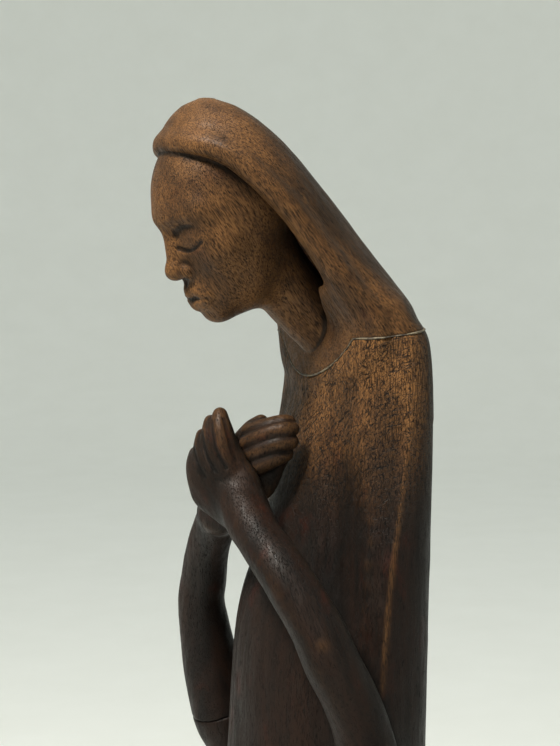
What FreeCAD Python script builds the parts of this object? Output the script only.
import FreeCAD, Part
import math
import os

# Carved hardwood statuette of a veiled woman at prayer, in millimetres.
#
# Row frame: +Z up, the figure looks along -Y, its left side is +X, and the origin is on the
# table, at the centre of the object's footprint box.  The figure is pieced from several
# carvings that are dowelled and glued: the body, the head with its veil, and two forearms with
# their hands.  It stands on a low oval plinth that two wood screws hold from below.

Vec = FreeCAD.Vector

# ---- driving dimensions (mm) --------------------------------------------------------------
PLINTH_HEIGHT = 12.0
PLINTH_HALF_WIDTH = 31.0
PLINTH_HALF_DEPTH = 26.0
PLINTH_CENTRE_Y = 2.0
PLINTH_EDGE_ROUND = 2.5

SEAM_Z = 273.8  # height of the glued shoulder seam at SEAM_Y
SEAM_Y = 12.0
SEAM_SLOPE = 0.12  # the seam rises towards the back
GLUE_THICKNESS = 0.3

HEAD_CENTRE = Vec(0, -10.2, 299.0)
HEAD_BOW = 22.0  # degrees that the head is bowed
HEAD_HEIGHT = 40.0  # crown to chin
HEAD_HALF_WIDTH = 13.6
HEAD_HALF_DEPTH = 16.0
HEAD_POWER = 2.1
# Sections of the head up its bowed axis: place, half width, front and back, as shares of the
# head's half height, half width and half depth.
HEAD_SECTIONS = [
    (-1.00, 0.20, 0.66, -0.50),
    (-0.90, 0.46, 0.80, -0.16),
    (-0.64, 0.78, 0.88, 0.10),
    (-0.30, 0.95, 0.92, 0.62),
    (0.10, 1.00, 0.96, 0.92),
    (0.50, 0.96, 0.94, 0.96),
    (0.82, 0.66, 0.62, 0.66),
    (0.97, 0.22, 0.20, 0.24),
]
NOSE_SECTIONS = [
    (-0.26, 0.20, 1.10, 0.0),
    (-0.16, 0.18, 1.14, 0.0),
    (0.14, 0.08, 0.98, 0.0),
]
VEIL_THICKNESS = 3.4
VEIL_HOLLOW = 8.0  # how far the hollow beside the neck runs in behind the veil's edge

NECK_TOP = Vec(0, 1.0, 290.0)
NECK_FOOT = Vec(0, 15.0, 266.0)  # the neck's foot is let into a socket in the chest
NECK_RADIUS = 7.0
NECK_SPREAD = 1.12  # the foot's radius over the top's

DOWEL_RADIUS = 2.0
NECK_DOWEL_X = 14.0
NECK_DOWEL_Y = 17.5
NECK_DOWEL_HALF_LENGTH = 5.0
ARM_DOWEL_RADIUS = 1.5
ARM_DOWEL_HALF_LENGTH = 7.0

SCREW_X = 11.0
SCREW_Y = 3.0
SCREW_SHANK_RADIUS = 1.75
SCREW_HEAD_RADIUS = 3.5
SCREW_HEAD_HEIGHT = 2.4
SCREW_RECESS = 1.2  # the heads sit this far inside the plinth's underside
SCREW_LENGTH = 28.0
SCREW_POINT_LENGTH = 4.0
PILOT_SPARE = 1.5  # how far the pilot holes in the body run past the screws' points
SCREW_POINT_RADIUS = 0.2
SCREW_SLOT_WIDTH = 0.8
SCREW_SLOT_DEPTH = 0.9

# Torso and robe: height, half width, front, back, and the exponent of the superellipse.
ROBE_SECTIONS = [
    (PLINTH_HEIGHT, 25.0, -18.5, 22.0, 2.3),
    (40, 23.2, -16.4, 22.0, 2.3),
    (80, 21.8, -14.4, 22.0, 2.2),
    (130, 21.2, -12.0, 22.0, 2.2),
    (175, 21.4, -8.6, 22.5, 2.1),
    (190, 21.0, -7.6, 22.6, 2.1),
    (204, 20.4, -7.0, 22.8, 2.0),
    (215, 19.4, -6.0, 23.0, 2.0),
    (223, 18.4, -4.2, 23.2, 2.0),
    (232, 17.5, -1.2, 23.6, 2.0),
    (246, 19.0, 2.6, 25.0, 1.8),
    (260, 23.0, 6.8, 25.5, 1.6),
    (270, 22.0, 8.6, 26.0, 1.6),
    (280, 17.0, 12.0, 26.0, 1.8),
]

# Mantle that hangs down the back: height, half width, front edge, back.
MANTLE_SECTIONS = [
    (26, 23.5, 8.2, 26.0),
    (60, 24.0, 8.4, 25.6),
    (110, 25.2, 8.8, 25.4),
    (160, 26.4, 9.2, 25.6),
    (192, 27.0, 9.8, 26.4),
    (215, 26.6, 11.0, 26.8),
    (228, 26.2, 12.4, 27.0),
    (244, 25.8, 15.0, 27.0),
    (262, 24.8, 17.6, 27.0),
    (280, 22.4, 19.2, 26.0),
]
MANTLE_POWER = 3.0

# Veil, outside: height, half width, front, back, and the exponent of the superellipse.
VEIL_SECTIONS = [
    (266, 24.4, 7.6, 27.0, 2.8),
    (276.6, 22.6, 2.6, 26.6, 2.3),
    (284.6, 20.4, -9.4, 22.8, 2.1),
    (292.6, 19.2, -19.5, 16.6, 2.1),
    (300.6, 18.6, -24.8, 9.6, 2.1),
    (308.6, 16.0, -26.2, 2.6, 2.1),
    (314.4, 11.6, -24.8, -3.2, 2.0),
    (318.4, 6.0, -21.0, -9.0, 2.0),
    (320.0, 1.6, -16.6, -13.4, 2.0),
]

# The veil's front edge in side view (Y, Z), from the brow down to the shoulder.
VEIL_EDGE = [
    (-30.0, 309.8),
    (-26.0, 310.0),
    (-21.0, 308.2),
    (-13.0, 302.6),
    (-6.0, 295.6),
    (0.5, 287.6),
    (5.5, 280.4),
    (9.0, 273.0),
    (10.5, 262.0),
]

# One forearm, wrist to elbow, drawn on the left side: X, Y, Z and radius.
FOREARM = [
    (4.6, -8.6, 241.0, 3.9),
    (8.6, -8.9, 236.0, 4.0),
    (16.6, -6.8, 228.0, 4.6),
    (25.0, -3.9, 215.5, 5.2),
    (30.0, 0.1, 203.6, 5.8),
    (30.6, 5.2, 191.4, 6.4),
    (27.6, 9.6, 183.0, 5.4),
]
ARM_JOINT_POINT = Vec(30.4, 4.6, 192.6)  # the joint above the left elbow, on the arm's axis
ARM_JOINT_AXIS = Vec(-0.05, -0.38, 0.92)  # along the forearm, towards the wrist

UPPER_ARM = [
    (16.0, 18.5, 268.0, 5.0),
    (17.6, 16.4, 256.0, 5.4),
    (19.6, 12.6, 238.0, 5.6),
    (23.2, 9.8, 214.0, 5.8),
    (28.2, 8.0, 196.0, 6.2),
    (26.0, 9.0, 180.0, 5.0),
]

# Clasped hands: the palms meet in an upright plane through CLASP.
CLASP = Vec(0, -7.5, 249.6)
CLASP_TURN = 45.0  # degrees that the plane is turned from the figure's middle plane
PALM_GAP = 0.15
# A finger: its knuckle, middle and tip, each as (along the plane, up, out of the plane), radius.
LEFT_FINGERS = [
    ((-1.2, 1.6, 3.2), (-0.4, 6.0, 3.0), (0.0, 9.4, 1.6), 1.55),
    ((-4.2, 1.4, 3.4), (-3.4, 5.6, 3.1), (-2.8, 8.4, 1.7), 1.50),
    ((-6.8, 0.0, 3.2), (-6.2, 3.6, 3.0), (-5.6, 6.2, 1.7), 1.45),
    ((-8.8, -2.6, 2.8), (-8.6, 0.6, 2.7), (-8.2, 3.0, 1.8), 1.35),
]
LEFT_THUMB = ((1.4, -3.6, 2.6), (2.9, 0.4, 2.5), (3.3, 3.8, 1.9), 1.5)
RIGHT_FINGERS = [
    ((2.6, 3.4, -2.4), (6.6, 6.0, -2.3), (9.8, 7.8, -2.0), 1.45),
    ((3.4, 1.2, -2.6), (7.4, 3.4, -2.5), (11.0, 5.2, -2.1), 1.45),
    ((3.8, -1.2, -2.6), (7.4, 0.8, -2.5), (10.8, 2.4, -2.1), 1.45),
    ((3.6, -3.6, -2.4), (6.6, -1.8, -2.3), (9.4, -0.2, -2.0), 1.35),
]
RIGHT_THUMB = ((-1.6, 2.6, -2.2), (0.6, 6.0, -2.1), (2.8, 8.2, -1.8), 1.45)
LEFT_PALM = [(0.9, -10.6, 3.6), (-2.4, -5.0, 6.2), (-4.9, 2.6, 5.2)]  # along, up, half width
RIGHT_PALM = [(-3.4, -9.6, 3.6), (0.2, -4.4, 5.6), (2.4, 4.4, 3.4)]
PALM_THICKNESS = 4.6
KNUCKLE_SWELL = 1.08  # a finger's radius at its knuckle and at its tip, over its middle
FINGERTIP_TAPER = 0.86

CLEARANCE = 0.05  # left between a dowel or screw and its hole
SECTION_POINTS = 20
LOFT_SECTIONS = 16
REACH = 60.0  # half the size of the tools that cut the blocks


def superellipse(half_width, front, back, power, height):
    """A closed smooth wire at one height, symmetric about the figure's middle plane."""
    middle = (front + back) / 2
    half_depth = (back - front) / 2
    points = []
    for i in range(SECTION_POINTS):
        turn = 2 * math.pi * i / SECTION_POINTS
        c, s = math.cos(turn), math.sin(turn)
        x = half_width * math.copysign(abs(c) ** (2 / power), c)
        y = middle + half_depth * math.copysign(abs(s) ** (2 / power), s)
        points.append(Vec(x, y, height))
    curve = Part.BSplineCurve()
    curve.interpolate(points, PeriodicFlag=True)
    return Part.Wire([curve.toShape()])


def loft(wires):
    return Part.makeLoft(wires, True, False)


def even_stations(stations, count):
    """Stations at even heights, on a smooth curve through the given ones (height first)."""
    heights = [row[0] for row in stations]
    slopes = []
    for i in range(len(stations)):
        above = stations[min(i + 1, len(stations) - 1)]
        below = stations[max(i - 1, 0)]
        slopes.append([(a - b) / (above[0] - below[0]) for a, b in zip(above, below)])
    rows = []
    for k in range(count):
        height = heights[0] + (heights[-1] - heights[0]) * k / (count - 1)
        i = max(j for j in range(len(heights) - 1) if heights[j] <= height)
        span = heights[i + 1] - heights[i]
        t = (height - heights[i]) / span
        rise = t * t * (3 - 2 * t)
        leave = t * (1 - t) ** 2 * span
        arrive = -t * t * (1 - t) * span
        columns = zip(stations[i], stations[i + 1], slopes[i], slopes[i + 1])
        rows.append([a + (b - a) * rise + m * leave + n * arrive for a, b, m, n in columns])
    return rows


def ring(centre, axis, radius):
    return Part.Wire([Part.makeCircle(radius, centre, axis)])


def tapered_limb(stations, side=1):
    """A smooth limb through round sections, drawn on the left and mirrored by side = -1."""
    centres = [Vec(side * x, y, z) for x, y, z, _ in stations]
    wires = []
    for i, station in enumerate(stations):
        ahead = centres[min(i + 1, len(centres) - 1)]
        behind = centres[max(i - 1, 0)]
        wires.append(ring(centres[i], (ahead - behind).normalize(), station[3]))
    return loft(wires).fuse(Part.makeSphere(stations[-1][3], centres[-1]))


def seam_height(y):
    return SEAM_Z + SEAM_SLOPE * (y - SEAM_Y)


def seam_block(above):
    """Everything above or below the shoulder seam, as a large tool."""
    far = 2 * REACH
    end = seam_height(0) + (far if above else -3 * far)
    outline = [
        Vec(-far, -far, seam_height(-far)),
        Vec(-far, far, seam_height(far)),
        Vec(-far, far, end),
        Vec(-far, -far, end),
    ]
    return Part.Face(Part.makePolygon(outline + outline[:1])).extrude(Vec(2 * far, 0, 0))


def arm_joint_block(side, towards_wrist):
    """The half space on one side of a forearm's joint, as a large tool."""
    axis = Vec(side * ARM_JOINT_AXIS.x, ARM_JOINT_AXIS.y, ARM_JOINT_AXIS.z).normalize()
    point = Vec(side * ARM_JOINT_POINT.x, ARM_JOINT_POINT.y, ARM_JOINT_POINT.z)
    return Part.makeCylinder(REACH, REACH, point, axis if towards_wrist else axis * -1)


def dowel(centre, axis, radius, half_length):
    axis = Vec(axis).normalize()
    return Part.makeCylinder(radius, 2 * half_length, centre - axis * half_length, axis)


def robe_block():
    stations = even_stations(ROBE_SECTIONS, LOFT_SECTIONS)
    torso = loft([superellipse(w, f, b, n, z) for z, w, f, b, n in stations])
    mantle = loft([mantle_section(*row) for row in even_stations(MANTLE_SECTIONS, LOFT_SECTIONS)])
    block = torso.fuse(mantle)
    for side in (1, -1):
        block = block.fuse(tapered_limb(UPPER_ARM, side))
        elbow = tapered_limb(FOREARM, side).common(arm_joint_block(side, False))
        block = block.fuse(elbow)
    return block


def mantle_section(height, half_width, front, back):
    """A D shape: straight across the front edge, and a full rounded back."""
    depth = back - front
    points = []
    for i in range(SECTION_POINTS // 2 + 1):
        turn = math.pi * i / (SECTION_POINTS // 2)
        c, s = math.cos(turn), math.sin(turn)
        x = half_width * math.copysign(abs(c) ** (2 / MANTLE_POWER), c)
        points.append(Vec(x, front + depth * s ** (2 / MANTLE_POWER), height))
    curve = Part.BSplineCurve()
    curve.interpolate(points)
    return Part.Wire([curve.toShape(), Part.makeLine(points[-1], points[0])])


def in_front_of_veil_edge(shift):
    """The space before the veil's front edge, moved back by shift, as a cutting tool."""
    normal = Vec(0, 1, 1).normalize() * shift
    edge = [Vec(-REACH, y, z) + normal for y, z in VEIL_EDGE]
    curve = Part.BSplineCurve()
    curve.interpolate(edge)
    floor = SEAM_Z - REACH / 2
    corners = [edge[-1], Vec(-REACH, edge[-1].y, floor), Vec(-REACH, -REACH, floor)]
    corners += [Vec(-REACH, -REACH, edge[0].z), edge[0]]
    sides = [Part.makeLine(a, b) for a, b in zip(corners, corners[1:])]
    return Part.Face(Part.Wire([curve.toShape()] + sides)).extrude(Vec(2 * REACH, 0, 0))


def head_section(up, half_width, front, back):
    """One section of the head, square to its bowed axis."""
    width = half_width * HEAD_HALF_WIDTH
    depth = HEAD_HALF_DEPTH
    wire = superellipse(width, -front * depth, back * depth, HEAD_POWER, up * HEAD_HEIGHT / 2)
    wire.rotate(Vec(0, 0, 0), Vec(1, 0, 0), HEAD_BOW)
    wire.translate(HEAD_CENTRE)
    return wire


def head_core():
    """The head itself: an egg that narrows to the chin, with a plain nose."""
    egg = loft([head_section(*row) for row in HEAD_SECTIONS])
    return egg.fuse(loft([head_section(*row) for row in NOSE_SECTIONS]))


def head_block():
    outer = loft([superellipse(w, f, b, n, z) for z, w, f, b, n in VEIL_SECTIONS])
    t = VEIL_THICKNESS
    inner = loft(
        [superellipse(w - t, f + t, b - t, n, z - t) for z, w, f, b, n in VEIL_SECTIONS[:-2]]
    )
    veil = outer.cut(in_front_of_veil_edge(0))
    veil = veil.cut(inner.common(in_front_of_veil_edge(VEIL_HOLLOW)))
    return veil.fuse(head_core())


def neck_column():
    axis = NECK_FOOT - NECK_TOP
    return Part.makeCone(
        NECK_RADIUS, NECK_RADIUS * NECK_SPREAD, axis.Length, NECK_TOP, axis
    )


def clasp_point(place):
    along, up, out = place
    turn = math.radians(CLASP_TURN)
    e1 = Vec(math.sin(turn), math.cos(turn), 0)
    normal = Vec(math.cos(turn), -math.sin(turn), 0)
    return CLASP + e1 * along + Vec(0, 0, up) + normal * out


def finger(knuckle, middle, tip, radius):
    points = [clasp_point(p) for p in (knuckle, middle, tip)]
    radii = (radius * KNUCKLE_SWELL, radius, radius * FINGERTIP_TAPER)
    shape = Part.makeSphere(radii[0], points[0])
    for (a, ra), (b, rb) in zip(zip(points, radii), zip(points[1:], radii[1:])):
        step = b - a
        shape = shape.fuse(Part.makeCone(ra, rb, step.Length, a, step))
        shape = shape.fuse(Part.makeSphere(rb, b))
    return shape


def palm(stations, out):
    """A flat pad of wood from the wrist to the knuckles, on one side of the clasp plane."""
    wires = []
    for along, up, half_width in stations:
        centre = clasp_point((along, up, out))
        turn = math.radians(90 - CLASP_TURN)
        ellipse = Part.Ellipse(Vec(0, 0, 0), half_width, PALM_THICKNESS / 2)
        wire = Part.Wire([ellipse.toShape()])
        wire.rotate(Vec(0, 0, 0), Vec(0, 0, 1), math.degrees(turn))
        wire.translate(centre)
        wires.append(wire)
    return loft(wires)


def forearm_and_hand(side, palm_stations, fingers):
    """One arm piece: its forearm, palm and fingers, trimmed flat where the palms meet."""
    arm = tapered_limb(FOREARM, side).common(arm_joint_block(side, True))
    arm = arm.fuse(palm(palm_stations, side * PALM_THICKNESS / 2))
    for shape in fingers:
        arm = arm.fuse(finger(*shape))
    turn = math.radians(CLASP_TURN)
    normal = Vec(math.cos(turn), -math.sin(turn), 0) * side
    return arm.common(Part.makeCylinder(2 * REACH, REACH, CLASP + normal * PALM_GAP, normal))


def base_screw(x):
    """A countersunk wood screw, point up, as one solid."""
    foot = Vec(x, SCREW_Y, SCREW_RECESS)
    head = Part.makeCone(SCREW_HEAD_RADIUS, SCREW_SHANK_RADIUS, SCREW_HEAD_HEIGHT, foot)
    shank_foot = foot + Vec(0, 0, SCREW_HEAD_HEIGHT)
    shank_length = SCREW_LENGTH - SCREW_HEAD_HEIGHT - SCREW_POINT_LENGTH
    shank = Part.makeCylinder(SCREW_SHANK_RADIUS, shank_length, shank_foot)
    tip_foot = shank_foot + Vec(0, 0, shank_length)
    tip = Part.makeCone(SCREW_SHANK_RADIUS, SCREW_POINT_RADIUS, SCREW_POINT_LENGTH, tip_foot)
    slot_corner = foot - Vec(SCREW_HEAD_RADIUS, SCREW_SLOT_WIDTH / 2, 0)
    slot = Part.makeBox(2 * SCREW_HEAD_RADIUS, SCREW_SLOT_WIDTH, SCREW_SLOT_DEPTH, slot_corner)
    return head.fuse(shank).fuse(tip).cut(slot)


def plinth_block():
    outline = Part.Ellipse(
        Vec(0, PLINTH_CENTRE_Y, 0), PLINTH_HALF_WIDTH, PLINTH_HALF_DEPTH
    ).toShape()
    block = Part.Face(Part.Wire([outline])).extrude(Vec(0, 0, PLINTH_HEIGHT))
    rim = [edge for edge in block.Edges if edge.BoundBox.ZMin > PLINTH_HEIGHT / 2]
    block = block.makeFillet(PLINTH_EDGE_ROUND, rim)
    shank_hole = SCREW_SHANK_RADIUS + CLEARANCE
    head_hole = SCREW_HEAD_RADIUS + CLEARANCE
    for x in (-SCREW_X, SCREW_X):
        foot = Vec(x, SCREW_Y, 0)
        sink_foot = foot + Vec(0, 0, SCREW_RECESS)
        block = block.cut(Part.makeCylinder(shank_hole, PLINTH_HEIGHT, foot))
        block = block.cut(Part.makeCylinder(head_hole, SCREW_RECESS, foot))
        block = block.cut(Part.makeCone(head_hole, shank_hole, SCREW_HEAD_HEIGHT, sink_foot))
    return block


def seam_layer(outline):
    """The layer of glue: a thin slab along the shoulder seam that fills the given outline."""
    below = seam_block(False)
    below.translate(Vec(0, 0, GLUE_THICKNESS))
    return outline.common(below).common(seam_block(True))


def joint_dowel(centre, axis, radius, half_length):
    """A dowel across a joint, and the slightly wider hole that it is glued into."""
    pin = dowel(centre, axis, radius - CLEARANCE, half_length)
    return pin, dowel(centre, axis, radius, half_length)


def main():
    os.makedirs("parts", exist_ok=True)
    robe = robe_block()
    head = head_block()
    neck = neck_column()
    arms = {
        1: forearm_and_hand(1, LEFT_PALM, LEFT_FINGERS + [LEFT_THUMB]),
        -1: forearm_and_hand(-1, RIGHT_PALM, RIGHT_FINGERS + [RIGHT_THUMB]),
    }
    glue = seam_layer(robe.fuse(head)).cut(neck)
    above_glue = seam_block(True)
    above_glue.translate(Vec(0, 0, GLUE_THICKNESS))
    head = head.common(above_glue).fuse(neck)
    body = robe.common(seam_block(False)).cut(neck).cut(arms[1]).cut(arms[-1])

    parts = {"plinth": plinth_block()}
    for side, name in ((1, "left"), (-1, "right")):
        seat = Vec(side * NECK_DOWEL_X, NECK_DOWEL_Y, seam_height(NECK_DOWEL_Y))
        pin, hole = joint_dowel(seat, Vec(0, 0, 1), DOWEL_RADIUS, NECK_DOWEL_HALF_LENGTH)
        parts["neck_dowel_" + name] = pin
        body, head, glue = body.cut(hole), head.cut(hole), glue.cut(hole)

        seat = Vec(side * ARM_JOINT_POINT.x, ARM_JOINT_POINT.y, ARM_JOINT_POINT.z)
        axis = Vec(side * ARM_JOINT_AXIS.x, ARM_JOINT_AXIS.y, ARM_JOINT_AXIS.z)
        pin, hole = joint_dowel(seat, axis, ARM_DOWEL_RADIUS, ARM_DOWEL_HALF_LENGTH)
        parts[name + "_arm_dowel"] = pin
        parts[name + "_arm"] = arms[side].cut(hole)
        body = body.cut(hole)

        parts["base_screw_" + name] = base_screw(side * SCREW_X)
        pilot_foot = Vec(side * SCREW_X, SCREW_Y, 0)
        pilot_length = SCREW_RECESS + SCREW_LENGTH + PILOT_SPARE
        body = body.cut(Part.makeCylinder(SCREW_SHANK_RADIUS, pilot_length, pilot_foot))

    parts["body"] = body
    parts["head_and_veil"] = head
    parts["shoulder_glue_line"] = glue
    for name, shape in parts.items():
        shape.exportStep(os.path.join("parts", name + ".step"))


main()
